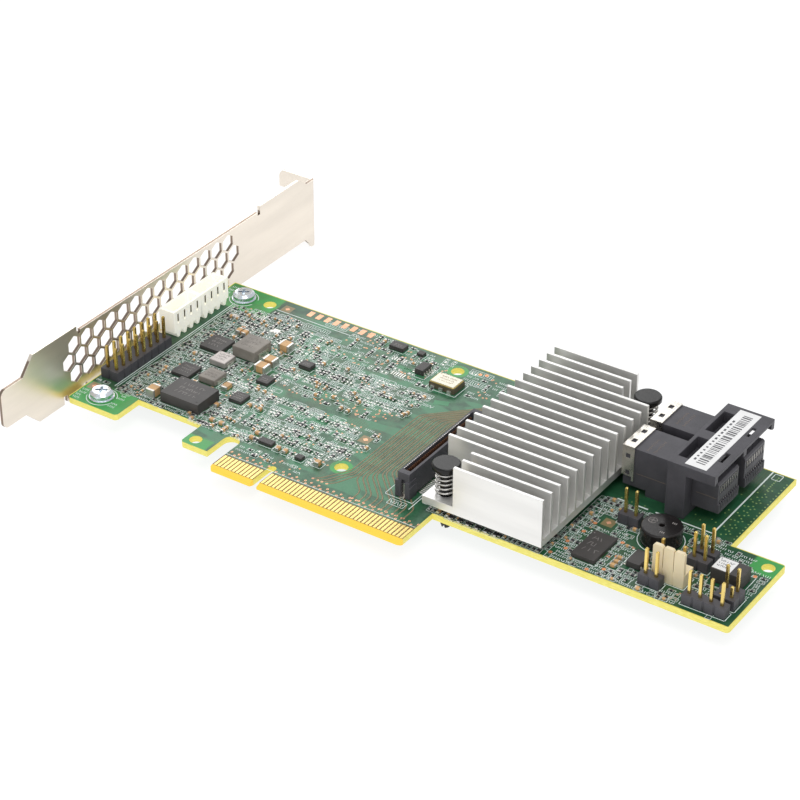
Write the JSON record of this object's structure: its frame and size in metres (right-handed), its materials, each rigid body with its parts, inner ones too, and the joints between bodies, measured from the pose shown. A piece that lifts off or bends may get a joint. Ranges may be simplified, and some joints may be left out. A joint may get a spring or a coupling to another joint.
{
  "type": "raid controller card",
  "caption": "Expansion card with a vented slot bracket, edge fingers, a finned heat sink held by sprung pins and two cable ports at the far end.",
  "frame": {"origin": "centre line of the key notch, at the tip of the edge fingers, on the component face of the board", "axes": "+X runs along the card from the bracket to the far end, +Y from the fingers to the board's top edge, +Z out of the component face"},
  "size_m": [0.1804, 0.1209, 0.0214],
  "materials": {
    "solder_mask": "green solder mask with white print over glass-epoxy",
    "gold": "thin gold plate",
    "nickel_sheet": "bright nickel plated sheet",
    "zinc_screw": "bright zinc plate",
    "aluminium": "plain extruded aluminium",
    "black_nylon": "moulded black plastic",
    "spring_steel": "plain spring wire",
    "chip_black": "moulded epoxy, fine matt grain",
    "pad_grey": "soft grey pad",
    "connector_black": "moulded black resin",
    "tin": "tin plate",
    "white_label": "white sticker with printed bars",
    "white_nylon": "moulded white nylon",
    "cream_resin": "moulded cream resin",
    "ceramic_tan": "fired tan ceramic",
    "lid_cream": "pale lid with a gold rim",
    "inductor_grey": "pressed metal powder",
    "inductor_silver": "satin metal case"
  },
  "bodies": {
    "root": {"circuit_board": "solder_mask", "edge_contacts": "gold", "mounting_bracket": "nickel_sheet", "bracket_screws": "zinc_screw", "controller_chip": "chip_black", "thermal_pad": "pad_grey", "heat_sink": "aluminium", "push_pins": "black_nylon", "push_pin_springs": "spring_steel", "port_housing": "connector_black", "port_towers": "connector_black", "port_contacts": "gold", "port_shields": "tin", "port_label": "white_label", "slot_housing": "connector_black", "slot_lock": "tin", "slot_contacts": "tin", "io_header_base": "connector_black", "io_header_posts": "gold", "far_header_bases": "connector_black", "far_header_posts": "gold", "key_header_housing": "cream_resin", "key_header_posts": "gold", "wafer_housings": "white_nylon", "wafer_pins": "tin", "buzzer": "chip_black", "power_module": "chip_black", "power_chips": "chip_black", "logic_chips": "chip_black", "memory_chip": "chip_black", "eight_lead_chips": "chip_black", "eight_lead_legs": "tin", "clock_module": "chip_black", "clock_label": "white_label", "oscillator_case": "chip_black", "oscillator_lid": "lid_cream", "power_inductors": "inductor_grey", "plated_inductor": "inductor_silver", "inductor_ends": "tin", "capacitor_bodies": "ceramic_tan", "capacitor_ends": "tin", "resistor_bodies": "chip_black", "resistor_ends": "tin"}
  },
  "joints": []
}
